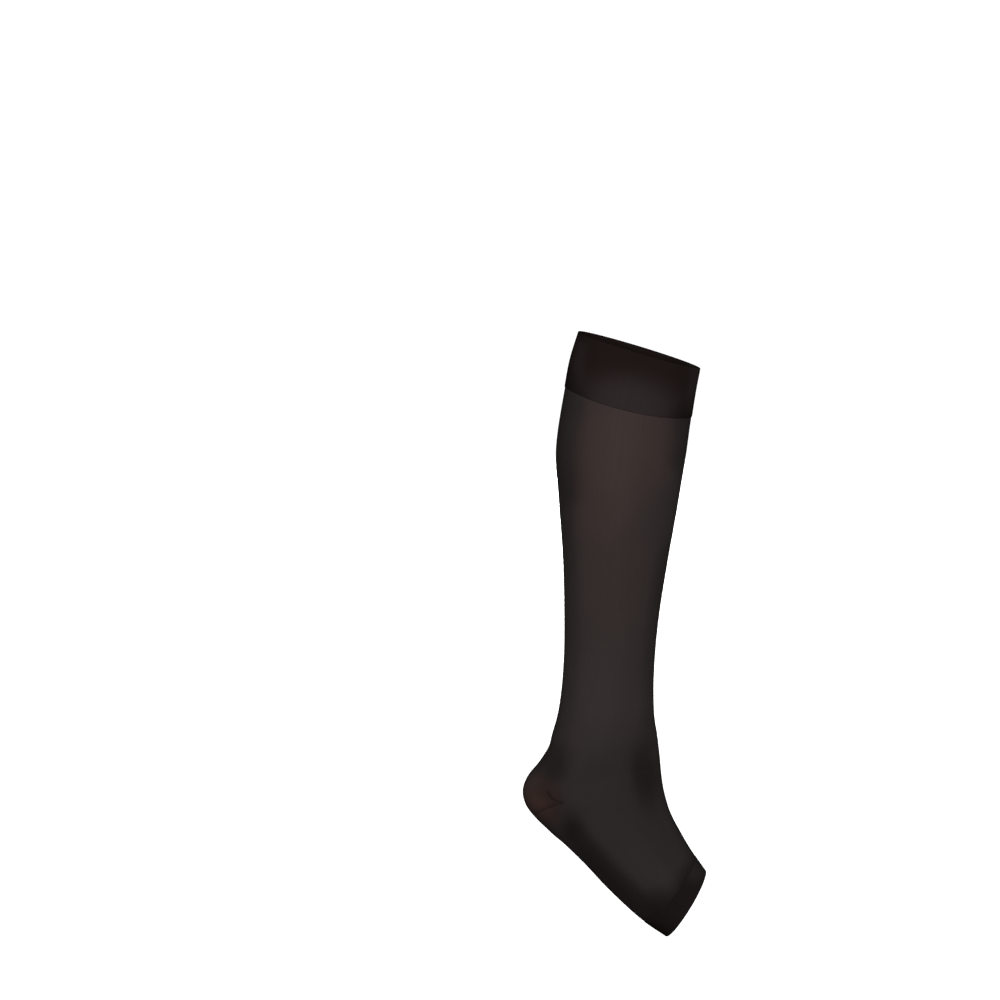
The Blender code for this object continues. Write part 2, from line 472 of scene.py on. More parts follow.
TINTS = (
    # The top band: painted light in a patch where it lies flat over the calf and along its edges, in place
    # of its sheen.
    Patch((-9.5, -44), (43, 25), -9, Tone.LIGHT, 1.0, 3.5),
    Strip(FRONT_OF_BAND, Tone.LIGHT, 0.85, 7.5, 2.5),
    Strip(BACK_OF_BAND, Tone.LIGHT, 0.42, 7, 2.5),
    # The leg: sheerest over the calf, with painted shade along the shin and down its back, where it turns
    # from the lamps.
    Patch((-14, -80), (45, 50), 0, Tone.SHEER, 0.9, 5.0),
    Patch((-31, -122), (28, 46), 0, Tone.SHEER, 0.75, 4.0),
    Patch((-24, -192), (34, 58), -4, Tone.SHEER, 0.4, 3.0),
    # painted shade down the leg's front and back edges, where they turn from the lamps
    Strip(SHIN, Tone.SHADED, 0.41, 12, 3.5),
    Strip(BACK_OF_LEG, Tone.SHADED, 0.54, 13.5, 3.5),
    Strip(FRONT_OF_CALF, Tone.SHADED, 0.66, 19.5, 4.0),
    Strip(BACK_OF_CALF, Tone.SHADED, 0.78, 20.5, 4.0),
    # The ankle and the foot: painted shade over them, in the hollows round the ankle and along the sole,
    # denser cloth with painted shade by the toe band, and painted light on the toe band's top.
    # painted shade over the ankle and the foot
    Patch((-35, -358), (60, 36), 0, Tone.SHADED, 0.22, 3.5),
    Patch((-20, -435), (95, 80), 45, Tone.SHADED, 0.6, 4.0),
    # painted shade in the hollow in front of the ankle
    Patch((8, -338), (8, 22), 0, Tone.DENSE_AND_SHADE, 0.22, 3.0),
    Patch((5.5, -375), (12, 29), 10, Tone.DENSE_AND_SHADE, 0.62, 3.0),
    # painted shade in the hollows above and in front of the heel
    Patch((-73, -365), (12.5, 20), -8, Tone.DENSE_AND_SHADE, 0.6, 3.0),
    Patch((-58.5, -414), (11, 12), 0, Tone.DENSE_AND_SHADE, 0.46, 2.5),
    # painted shade along the sole, which faces away from the lamps
    Strip(SOLE, Tone.DENSE_AND_SHADE, 0.58, 10.5, 3.5),
    Patch((20, -485), (16, 13), -35, Tone.DENSE_AND_SHADE, 0.75, 3.0),
    # denser cloth by the toe band, with painted shade over it
    Strip(TOE_EDGE, Tone.DENSE_AND_SHADE, 0.95, 25, 5.0),
    # painted light on the top of the toe band
    Patch((54, -456), (14, 11), 0, Tone.LIGHT, 1.0, 2.5),
    # The heel pocket, stretched thin and painted lighter beneath where it faces down from the lamps, and its
    # sutures, the lower one with painted shade in its crease.
    Patch((-85, -395), (18, 21), 0, Tone.THIN, 0.9, 3.0),
    # painted light under the heel, where it faces down
    Patch((-87, -402), (18, 9), -45, Tone.STRETCHED_AND_LIT, 0.9, 3.0),
    Strip(UPPER_SUTURE, Tone.THIN, 0.3, 2.2, 2.0),
    # painted shade in the lower suture's crease
    Strip(SUTURE, Tone.SHADED, 0.45, 1.7, 2.5),
    Strip(NARROWING, Tone.DENSE_AND_SHADE, 0.45, 1.2, 2.5),
)


# ------------------------------------------------------------------- the cloth net
class Part(Enum):
    """Pieces of the knitted tube that share one net."""

    LEG = "leg"
    HEEL = "heel"
    FOOT = "foot"


@dataclass
class ClothNet:
    """A welded net of the whole tube, so that pieces cut from it meet without a step."""

    points: np.ndarray
    faces: dict[Part, np.ndarray]
    stitches: dict[Part, np.ndarray]

    @classmethod
    def knitted(cls, grids: dict[Part, np.ndarray]) -> "ClothNet":
        """Joins grids of points into one net.

        Args:
            grids: points of each part, as rows x columns x 3.

        Returns:
            The net, with every corner's place counted in stitches.
        """
        points, faces, stitches, count = [], {}, {}, 0
        whole = max(grid.shape[1] for grid in grids.values())
        for part, grid in grids.items():
            rows, columns = grid.shape[:2]
            closed = columns == whole
            row, column = face_corners(rows - 1, columns if closed else columns - 1)
            first_column = 0 if closed else (whole - columns + 1) // 2
            faces[part] = count + row * columns + column % columns
            wales = (first_column + column) / whole * WALES
            stitches[part] = np.stack([wales, courses_down(grid)[row]], axis=-1)
            points.append(grid.reshape(-1, 3))
            count += rows * columns
        merged = np.vstack(points)
        keys = np.round(merged / WELD).astype(np.int64)
        _, first, inverse = np.unique(keys, axis=0, return_index=True, return_inverse=True)
        inverse = inverse.reshape(-1)
        return cls(merged[first], {part: inverse[quads] for part, quads in faces.items()}, stitches)

    def all_faces(self) -> np.ndarray:
        """Every part's faces."""
        return np.vstack(list(self.faces.values()))

    def sides(self) -> tuple[np.ndarray, np.ndarray]:
        """Sides of the faces.

        Returns:
            The first and the last point of every side, as two rows, and the points on open edges.
        """
        quads = self.all_faces()
        ends = np.stack([quads.reshape(-1), np.roll(quads, -1, axis=1).reshape(-1)])
        ends = ends[:, ends[0] != ends[1]]
        directed = ends[0] * len(self.points) + ends[1]
        backward = ends[1] * len(self.points) + ends[0]
        return ends, np.unique(ends[:, ~np.isin(backward, directed)])

    def normals(self) -> np.ndarray:
        """Outward directions of the cloth.

        Returns:
            A unit vector at each point, weighed by the faces round it.
        """
        quads = self.all_faces()
        a, b, c, d = (self.points[quads[:, i]] for i in range(4))
        across = np.cross(c - a, d - b)
        result = np.zeros_like(self.points)
        for i in range(4):
            np.add.at(result, quads[:, i], across)
        return unit(result)

    def press(self, creases: Iterable[Crease]) -> None:
        """Presses the creases into the net, along its normals."""
        depth = sum(crease.depth_at(self.points) for crease in creases)
        self.points = self.points - self.normals() * depth[:, None]

    def on_surface(self, course: Course, side: Side, step: float) -> tuple[np.ndarray, np.ndarray]:
        """A line on the cloth under a bent line in profile.

        Args:
            course: the bent line.
            side: the side of the stocking that it lies on.
            step: least distance between the points that are returned, in metres.

        Returns:
            Points on the cloth, up to where the line leaves it, and the outward unit vectors there.
        """
        corners = np.array(course) * MM
        lengths = np.concatenate([[0.0], np.cumsum(np.linalg.norm(np.diff(corners, axis=0), axis=1))])
        places = np.arange(0, lengths[-1], PROBE_STEP)
        tree = BVHTree.FromPolygons(self.points.tolist(), polygons_of(self.all_faces()))
        points, normals = [], []
        for x, z in zip(*(np.interp(places, lengths, corners[:, axis]) for axis in (0, 1))):
            outside = Vector((x, side.value, z))    # a metre off the stocking
            hit, normal, _, _ = tree.ray_cast(outside, Vector((0, -side.value, 0)))
            if hit is not None and (not points or (hit - points[-1]).length >= step):
                points.append(hit)
                normals.append(normal if normal.y * side.value > 0 else -normal)
        return np.array(points), np.array(normals)


def polygons_of(quads: np.ndarray) -> list[list[int]]:
    """The quads as lists of points, where those that have closed up are triangles."""
    return [list(dict.fromkeys(quad)) for quad in quads.tolist() if len(set(quad)) > 2]


def face_corners(rows: int, columns: int) -> tuple[np.ndarray, np.ndarray]:
    """Corners of the faces of a grid.

    Args:
        rows: how many rows of faces it has.
        columns: how many columns.

    Returns:
        The row and the column of each face's four corners, so that the faces look outwards.
    """
    upper, left = (place.reshape(-1, 1) for place in np.mgrid[0:rows, 0:columns])
    return upper + [0, 1, 1, 0], left + [0, 0, 1, 1]


def courses_down(rings: np.ndarray) -> np.ndarray:
    """How many stitches down the cloth each ring lies, from the first one."""
    down = np.linalg.norm(np.diff(rings, axis=0), axis=2).mean(axis=1)
    return np.concatenate([[0.0], np.cumsum(down)]) / COURSE


@dataclass(frozen=True)
class Smoothing:
    """How the net is evened out where its pieces meet, without shrinking it.

    In a pass each point moves by `forth` of the way to its neighbours' mean, and then by
    `back`.  At the end the ankle's fold is filled by moves that don't go back, which fade
    out at `fold_reach` from it.  Open edges stay, and so does all that is nearer than
    `held` to the heel pocket's hinges, while past `free` the net moves fully.
    """

    passes: int = 80
    fill_passes: int = 24
    forth: float = 0.5
    back: float = -0.515
    fold_reach: float = 14 * MM
    held: float = 2 * MM
    free: float = 8 * MM

    def apply(self, net: ClothNet, hinge: np.ndarray, bend: np.ndarray) -> None:
        """Evens the net out.

        Args:
            net: the whole tube, whose points it moves.
            hinge: the point on the left where the heel pocket's rings meet.
            bend: the point at the front of the ankle on the same ring.
        """
        sides, at_edge = net.sides()
        ends, others = np.hstack([sides, sides[::-1]])
        count = np.bincount(ends, minlength=len(net.points))
        x, y, z = net.points.T
        from_hinge = np.linalg.norm(np.stack([x, np.abs(y), z], axis=1) - hinge, axis=1)
        free = smooth_step(from_hinge, self.held, self.free)
        free[at_edge] = 0
        fold = Trace(tuple((point[0] / MM, point[2] / MM) for point in (hinge, bend)))
        at_fold = free * np.exp(-((fold.nearest(net.points)[0] / self.fold_reach) ** 2))
        moves = [(self.forth, free), (self.back, free)] * self.passes
        moves += [(self.forth, at_fold)] * self.fill_passes
        for share, weight in moves:
            total = np.stack([np.bincount(ends, net.points[others, axis]) for axis in range(3)], axis=1)
            net.points = net.points + share * weight[:, None] * (total / count[:, None] - net.points)


@dataclass(frozen=True)
class Shell:
    """A thin wall of cloth: an outer face, an inner face and the rims between them."""

    name: str
    wall: float

    def build(self, net: ClothNet, part: Part) -> Object:
        """Cuts one part out of the net and gives it its wall.

        Args:
            net: the whole tube.
            part: which part of it.

        Returns:
            The piece, with slot 0 on its outside and rims and slot 1 on its inside.
        """
        normals = net.normals()
        quads, stitches = net.faces[part], net.stitches[part]
        used, local = np.unique(quads, return_inverse=True)
        local = local.reshape(quads.shape)
        count = len(used)
        outer = net.points[used]
        out = normals[used]
        inner = outer - out * self.wall

        polygons, corners, directions, slots = [], [], [], []
        edges = {}
        for quad, places in zip(local.tolist(), stitches.tolist()):
            kept = [i for i in range(4) if quad[i] != quad[i - 1]]
            if len(kept) < 3:
                continue
            face = [quad[i] for i in kept]
            uv = [places[i] for i in kept]
            polygons += [face, [i + count for i in reversed(face)]]
            corners += uv + uv[::-1]
            directions += [out[i] for i in face] + [-out[i] for i in reversed(face)]
            slots += [0, 1]
            for i, start in enumerate(face):
                end = face[(i + 1) % len(face)]
                if edges.pop((end, start), None) is None:
                    edges[start, end] = (uv[i], uv[(i + 1) % len(face)])
        for (start, end), (uv_start, uv_end) in edges.items():
            polygons.append([end, start, start + count, end + count])
            corners += [uv_end, uv_start, uv_start, uv_end]
            rim = unit(np.cross(outer[start] - outer[end], inner[start] - outer[start]))
            directions += [rim] * 4
            slots.append(0)
        return cloth_object(self.name, np.vstack([outer, inner]), polygons, corners, slots, directions)


def cloth_object(
    name: str,
    points: np.ndarray,
    polygons: list[list[int]],
    stitches: Sequence[Sequence[float]],
    slots: Sequence[int],
    directions: Sequence[np.ndarray] | None = None,
) -> Object:
    """Makes a smooth piece of cloth with its stitches counted in a UV map.

    Args:
        name: name of the piece.
        points: its points, in metres.
        polygons: its faces, as lists of points.
        stitches: the place of each face corner, in wales and courses.
        slots: material slot of each face.
        directions: normal of each face corner, or None for those of the mesh itself.

    Returns:
        The piece, in the scene.
    """
    mesh = bpy.data.meshes.new(name)
    mesh.from_pydata(points.tolist(), [], polygons)
    mesh.uv_layers.new(name=UV_NAME).data.foreach_set("uv", np.array(stitches, np.float32).reshape(-1))
    mesh.polygons.foreach_set("material_index", np.array(slots, np.int32))
    mesh.shade_smooth()
    if directions is not None:
        mesh.normals_split_custom_set(np.array(directions).tolist())
    for tone in Tone:
        layer = mesh.attributes.new(tone.value, "FLOAT", "POINT")
        layer.data.foreach_set("value", total_of(tone, points).astype(np.float32))
    mesh.update()
    return in_scene(name, mesh)


def in_scene(name: str, data: ID) -> Object:
    """Makes an object of the data and puts it in the scene, at the origin.

    Args:
        name: the object's name.
        data: a mesh, a lamp or a camera.

    Returns:
        The object.
    """
    made = bpy.data.objects.new(name, data)
    bpy.context.scene.collection.objects.link(made)
    return made


# ------------------------------------------------------------------------ finishes
class Fabric(Enum):
    """Which face of the knit shows: V-shaped stitches, or the loops on its back."""

    RIGHT_SIDE = "right_side"
    WRONG_SIDE = "wrong_side"


class NodeChain:
    """Short-hand for adding linked nodes to a tree."""

    def __init__(self, tree: NodeTree) -> None:
        """Starts with an existing tree."""
        self.tree = tree

    def add(self, kind: str, *inputs: object, **settings: object) -> Node:
        """Adds a node.

        Args:
            kind: Blender's name for the type of node.
            inputs: a value or an output socket for each input in turn, or None to leave it.
            settings: properties of the node.

        Returns:
            The node.
        """
        node = self.tree.nodes.new(kind)
        for name, value in settings.items():
            setattr(node, name, value)
        for socket, value in zip(node.inputs, inputs):
            if isinstance(value, NodeSocket):
                self.tree.links.new(value, socket)
            elif value is not None:
                socket.default_value = value
        return node

    def link(self, node: Node, sources: dict[str, NodeSocket]) -> None:
        """Links the sources to those of the node's inputs that have their names."""
        for name, source in sources.items():
            self.tree.links.new(source, next(s for s in node.inputs if s.name == name and s.enabled))

    def wired(self, kind: str, sources: dict[str, NodeSocket], **settings: object) -> NodeSocket:
        """Adds a node whose inputs are given by name.

        Args:
            kind: Blender's name for the type of node.
            sources: an output socket for each input that is linked.
            settings: properties of the node.

        Returns:
            The node's output.
        """
        node = self.add(kind, **settings)
        self.link(node, sources)
        return next(s for s in node.outputs if s.enabled)

    def maths(self, operation: str, *inputs: object) -> NodeSocket:
        """The output of a Math node."""
        return self.add("ShaderNodeMath", *inputs, operation=operation).outputs[0]

    def ranged(self, source: NodeSocket, low: float, high: float) -> NodeSocket:
        """A number that runs from low to high as the source runs from 0 to 1."""
        return self.maths("MULTIPLY_ADD", source, high - low, low)

    def noise(
        self, knit: NodeSocket, across: float, along: float, detail: float = 2.0, roughness: float = 0.5
    ) -> NodeSocket:
        """Noise on the cloth, with a scale across its wales and one along them."""
        place = self.add("ShaderNodeMapping", knit, None, None, (across, along, 1.0)).outputs[0]
        return self.add("ShaderNodeTexNoise", place, None, 1.0, detail, roughness).outputs[0]

    def attribute(self, name: str) -> NodeSocket:
        """The value of an attribute of the mesh."""
        return self.add("ShaderNodeAttribute", attribute_name=name).outputs["Fac"]

    def mixed(self, share: object, first: object, second: object, blend: str = "MIX") -> NodeSocket:
        """Mixes two colours.

        Args:
            share: how much of the second one shows.
            first: a colour or an output socket.
            second: a colour or an output socket.
            blend: Blender's name for the way of mixing.

        Returns:
            The mixed colour's socket.
        """
        node = self.add("ShaderNodeMix", data_type="RGBA", blend_type=blend)
        factor, colour_a, colour_b = (node.inputs[i] for i in (0, 6, 7))    # those for colours
        for socket, value in ((factor, share), (colour_a, first), (colour_b, second)):
            if isinstance(value, NodeSocket):
                self.tree.links.new(value, socket)
            else:
                socket.default_value = value if isinstance(value, float) else (*value, 1.0)
        return node.outputs[2]


def principled(name: str, **values: object) -> tuple[Material, NodeChain, Node]:
    """Starts a material.

    Args:
        name: its name.
        values: what its shader's inputs are set to, with _ for a space in their names.

    Returns:
        The material, its nodes and its Principled shader.
    """
    material = bpy.data.materials.new(name)
    material.use_nodes = True
    shader = material.node_tree.nodes["Principled BSDF"]
    for socket, value in values.items():
        shader.inputs[socket.replace("_", " ")].default_value = value
    return material, NodeChain(material.node_tree), shader


@dataclass(frozen=True)
class KnitFinish:
    """Fine knitted cloth: its colours, its stitches and its soft sheen."""

    name: str
    plain: Colour
    tints: tuple[tuple[Tone, Colour], ...]
    roughness: float = 0.62
    specular: float = 0.05
    relief: float = 0.1 * MM
    relief_strength: float = 0.3
    streak: float = 0.06            # how much lighter or darker single wales are,
    cloud: float = 0.08             # and larger areas of the cloth
    gap: float = 0.84               # painted shade in the gaps between the threads,
    crest: float = 1.14             # and painted highlights on the threads' crests
    shadow: float = 0.5             # painted shade where it is strongest
    polish: float = 0.06            # how much smoother or rougher it is in places
    slant: float = 1.4              # rise of a stitch's legs, in courses to a wale
    dip: float = 0.3                # depth of the dips between courses
    thinning: float = 0.8           # on the wrong side: how the thread thins between wales,
    wave: float = 0.22              # and how far its loops rise and fall, in courses
    fabric: Fabric = Fabric.RIGHT_SIDE

    def build(self) -> Material:
        """Makes the material.

        Returns:
            A Principled material whose colour follows the stitches and the tints.
        """
        material, chain, shader = principled(self.name, Specular_IOR_Level=self.specular)
        knit = chain.add("ShaderNodeUVMap", uv_map=UV_NAME).outputs["UV"]
        stitch = self._stitch_height(chain, knit)
        bump = chain.add("ShaderNodeBump", self.relief_strength, self.relief)
        chain.link(bump, {"Height": stitch})
        uneven = chain.noise(knit, across=0.12, along=0.02)
        chain.link(shader, {
            "Base Color": self._colour(chain, knit, stitch),
            "Normal": bump.outputs["Normal"],
            "Roughness": chain.ranged(uneven, self.roughness - self.polish, self.roughness + self.polish),
        })
        material.diffuse_color = (*self.plain, 1.0)
        return material

    def _stitch_height(self, chain: NodeChain, knit: NodeSocket) -> NodeSocket:
        """Relief of the stitches.

        Args:
            chain: the material's nodes.
            knit: place on the cloth, in wales and courses.

        Returns:
            A height from 0 to 1.
        """
        place = chain.add("ShaderNodeSeparateXYZ", knit)
        wale, course = place.outputs["X"], place.outputs["Y"]
        aside = chain.maths("ABSOLUTE", chain.maths("SUBTRACT", chain.maths("FRACT", wale), 0.5))
        if self.fabric is Fabric.RIGHT_SIDE:
            thread = chain.maths("SINE", chain.maths("MULTIPLY", aside, 2 * math.pi))
            turn = chain.maths("MULTIPLY_ADD", aside, self.slant, course)
        else:
            thread = chain.maths("MULTIPLY_ADD", aside, -self.thinning, 1.0)
            wave = chain.maths("COSINE", chain.maths("MULTIPLY", wale, 2 * math.pi))
            turn = chain.maths("MULTIPLY_ADD", wave, self.wave, course)
        loop = chain.maths("COSINE", chain.maths("MULTIPLY", turn, 2 * math.pi))
        return chain.maths("MULTIPLY", thread, chain.maths("MULTIPLY_ADD", loop, self.dip, 1 - self.dip))

    def _colour(self, chain: NodeChain, knit: NodeSocket, stitch: NodeSocket) -> NodeSocket:
        """Colour of the cloth: its tints, with their painted light and shade, its uneven wales, painted
        shade in the gaps between threads and painted highlights on them.

        Args:
            chain: the material's nodes.
            knit: place on the cloth, in wales and courses.
            stitch: height of the stitches.

        Returns:
            The colour's socket.
        """
        colour = self.plain
        for tone, tint in self.tints:
            colour = chain.mixed(chain.attribute(tone.value), colour, tint)
        streaks = chain.noise(knit, across=0.35, along=0.006, detail=3.0, roughness=0.55)
        clouds = chain.noise(knit, across=0.02, along=0.014)
        amount = chain.ranged(streaks, 1 - self.streak, 1 + self.streak)
        for factor in (
            chain.ranged(clouds, 1 - self.cloud, 1 + self.cloud),
            chain.ranged(stitch, self.gap, self.crest),
            chain.ranged(chain.attribute(Tone.SHADED.value), 1.0, self.shadow),
        ):
            amount = chain.maths("MULTIPLY", amount, factor)
        grey = chain.add("ShaderNodeCombineColor", amount, amount, amount).outputs[0]
        return chain.mixed(1.0, colour, grey, "MULTIPLY")


# Its third tint is partly painted light under the heel, and its last is mostly painted shade.
SHEER_KNIT = KnitFinish(
    "sheer_knit",
    (0.0300, 0.0235, 0.0228),
    (
        (Tone.SHEER, (0.0420, 0.0285, 0.0262)),
        (Tone.THIN, (0.0280, 0.0152, 0.0132)),
        (Tone.STRETCHED_AND_LIT, (0.0440, 0.0250, 0.0215)),
        (Tone.DENSE_AND_SHADE, (0.0082, 0.0054, 0.0052)),
    ),
)
# Its last tint is painted shade, carried over from the outside's.
SHEER_KNIT_INSIDE = KnitFinish(
    "sheer_knit_inside",
    (0.0200, 0.0165, 0.0160),
    (
        (Tone.SHEER, (0.0260, 0.0180, 0.0165)),
        (Tone.THIN, (0.0220, 0.0140, 0.0115)),
        (Tone.DENSE_AND_SHADE, (0.0080, 0.0065, 0.0060)),
    ),
    fabric=Fabric.WRONG_SIDE,
)
HEEL_KNIT = replace(SHEER_KNIT, name="heel_knit")
# Its tint is painted light, standing in for the band's sheen and lit edges.
DOUBLE_KNIT = KnitFinish(
    "double_knit",
    (0.0131, 0.0086, 0.0079),
    ((Tone.LIGHT, (0.0264, 0.0201, 0.0198)),),
    roughness=0.7,
    specular=0.0,
)
# Its first tint is denser cloth with painted shade, and its second is painted light.
TOE_KNIT = KnitFinish(
    "toe_knit",
    (0.0186, 0.0146, 0.0141),
    ((Tone.DENSE_AND_SHADE, (0.0131, 0.0096, 0.0093)), (Tone.LIGHT, (0.0310, 0.0260, 0.0250))),
    roughness=0.7,
    specular=0.0,
)


@dataclass(frozen=True)
class ThreadFinish:
    """Plain dark thread of the linking stitches, with a fine twist."""

    name: str
    colour: Colour
    roughness: float = 0.6
    specular: float = 0.05
    twist: float = 2500.0           # how fine its noise is,
    contrast: float = 2.0           # and how many times as light as the rest its crests are

    def build(self) -> Material:
        """Makes the material.

        Returns:
            A Principled material, lighter and darker along the thread's twist.
        """
        material, chain, shader = principled(
            self.name, Roughness=self.roughness, Specular_IOR_Level=self.specular
        )
        place = chain.add("ShaderNodeTexCoord").outputs["Object"]
        twist = chain.add("ShaderNodeTexNoise", place, None, self.twist, 1.0).outputs[0]
        light = tuple(self.contrast * channel for channel in self.colour)
        chain.link(shader, {"Base Color": chain.mixed(twist, self.colour, light)})
        return material


BLACK_THREAD = ThreadFinish("black_thread", (0.0085, 0.0068, 0.0062))


# ------------------------------------------------------------------ pieces of cloth
@dataclass(frozen=True)
class SheetCut:
    """The flat cut of a piece before it was pulled on, in metres and square metres."""

    width: float
    length: float
    area: float

    def declare(self, piece: Object) -> None:
        """Takes the piece, but states nothing about it."""


def place_piece(piece: Object, nodes: Sequence[str] = ()) -> None:
    """Puts a finished piece on the stocking's body.

    Args:
        piece: the piece.
        nodes: the solids that it stands for.
    """
    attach(piece, BODY)
    if nodes:
        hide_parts(*nodes)
    LOG.info("%s: %d faces, stands for %s", piece.name, len(piece.data.polygons), list(nodes) or "no node")


@dataclass
class KnittedTube:
    """Leg, heel pocket and foot, knitted in one piece."""

    form: StockingForm
    wall: float = 0.55 * MM
    leg_step: float = 3.0 * MM      # greatest distance between two rings
    heel_step: float = 1.1 * MM
    foot_step: float = 1.5 * MM
    tucked_rows: int = 3            # rings that lie under a band
    smoothing: Smoothing = Smoothing()

    def net(self) -> ClothNet:
        """Makes the whole tube's net, with its creases.

        Returns:
            The net, which runs a little way under both bands.
        """
        form = self.form
        quarter = form.columns // 4     # the column on the left side, a quarter round from the front
        under_band = form.rows(BAND_MIDDLE, BAND_FOOT, self.leg_step)[-1 - self.tucked_rows : -1]
        leg_rows = np.vstack([under_band, form.rows(BAND_FOOT, HEEL_LINE, self.leg_step)])
        under_toe = form.rows(TOE_BAND_FOOT, TOE_OPENING, self.foot_step)[1 : 1 + self.tucked_rows]
        foot_rows = np.vstack([form.rows(SOLE_LINE, TOE_BAND_FOOT, self.foot_step), under_toe])
        heel_rows = form.rows(HEEL_LINE, SOLE_LINE, self.heel_step)
        turning = [Column.FRONT, Column.FRONT + 1, Column.SIDE, Column.SIDE + 1, Column.WIDTH]
        heel_rows[:, turning] = heel_rows[0, turning]       # the pocket's rings turn about one hinge
        heel = form.rings(heel_rows)
        grids = {
            Part.LEG: form.rings(leg_rows),
            Part.HEEL: heel[:, quarter : 3 * quarter + 1],
            Part.FOOT: form.rings(foot_rows),
        }
        net = ClothNet.knitted(grids)
        self.smoothing.apply(net, hinge=heel[0, quarter], bend=heel[0, 0])
        net.press(CREASES)
        return net

    def build(self, net: ClothNet) -> None:
        """Cuts, dresses and places the three pieces.

        Args:
            net: the whole tube's net.
        """
        inside = SHEER_KNIT_INSIDE.build()
        sheer, heel = SHEER_KNIT.build(), HEEL_KNIT.build()
        plan = (
            (Part.LEG, "leg_knit", sheer, "sheer_knit", SheetCut(0.255, 0.318, 0.0624)),
            (Part.HEEL, "heel_knit", heel, "heel_knit", SheetCut(0.080, 0.070, 0.0041)),
            (Part.FOOT, "foot_knit", sheer, "sheer_knit", SheetCut(0.210, 0.120, 0.0208)),
        )
        for part, name, outside, slot, cut in plan:
            piece = Shell(name, self.wall).build(net, part)
            piece.data.materials.append(outside)
            piece.data.materials.append(inside)
            place_piece(piece, [part.value])
            cut.declare(piece)


@dataclass
class FoldedBand:
    """A band of double knit: a closed wall with a rounded fold at either end.

    It lies between the sections `first` and `last`, and its outside is `proud` of the form.
    """

    form: StockingForm
    name: str
    node: str
    first: str
    last: str
    proud: float
    thickness: float
    finish: KnitFinish
    cut: SheetCut
    step: float = 1.6 * MM
    fold_steps: int = 6
    stitch_lift: float = 0.15 * MM

    def frames(self) -> tuple[np.ndarray, np.ndarray, np.ndarray]:
        """Surface of the form under the band.

        Returns:
            Points, outward unit vectors and unit vectors down the tube, by ring and column.
        """
        points = self.form.rings(self.form.rows(self.first, self.last, self.step))
        down = unit(np.gradient(points, axis=0))
        around = np.roll(points, -1, axis=1) - np.roll(points, 1, axis=1)
        return points, unit(np.cross(down, around)), down

    def layers(self) -> np.ndarray:
        """Rings of the closed wall: down its outside, round its foot, up and over.

        Returns:
            Points as rings x columns x 3, where the last ring joins the first.
        """
        points, out, down = self.frames()
        inner = self.proud - self.thickness
        turns = np.pi * np.arange(self.fold_steps + 1) / self.fold_steps
        rings = [points[i] + out[i] * self.proud for i in range(1, len(points) - 1)]
        rings += self._fold(points[-1], out[-1], down[-1], turns)
        rings += [points[i] + out[i] * inner for i in range(len(points) - 2, 0, -1)]
        rings += self._fold(points[0], out[0], -down[0], np.pi - turns)
        return np.array(rings)

    def _fold(
        self, points: np.ndarray, out: np.ndarray, ahead: np.ndarray, turns: np.ndarray
    ) -> list[np.ndarray]:
        """Rings of a rounded fold.

        Args:
            points: the form's ring at the end of the band.
            out: outward unit vectors there.
            ahead: unit vectors along the tube, towards that end.
            turns: place of each ring round the fold, 0 on the outside and pi on the inside.

        Returns:
            Points of the fold's rings.
        """
        radius = self.thickness / 2
        centre = points - ahead * radius + out * (self.proud - radius)
        return [centre + ahead * radius * math.sin(turn) + out * radius * math.cos(turn) for turn in turns]

    def edge(self, end: int) -> tuple[np.ndarray, np.ndarray]:
        """Where the linking stitches lie on the band.

        Args:
            end: 0 for its upper edge and -1 for its lower one.

        Returns:
            Points a little off the form, and outward unit vectors.
        """
        points, out, _ = self.frames()
        return points[end] + out[end] * self.stitch_lift, out[end]

    def build(self) -> Object:
        """Makes, dresses and places the band.

        Returns:
            The piece.
        """
        rings = self.layers()
        count, columns = rings.shape[:2]
        row, column = face_corners(count, columns)
        quads = row % count * columns + column % columns
        courses = courses_down(np.concatenate([rings, rings[:1]]))
        stitches = np.stack([column / columns * WALES, courses[row]], axis=-1)
        piece = cloth_object(
            self.name, rings.reshape(-1, 3), quads.tolist(), stitches.reshape(-1, 2), [0] * len(quads)
        )
        piece.data.materials.append(self.finish.build())
        place_piece(piece, [self.node])
        self.cut.declare(piece)
        return piece


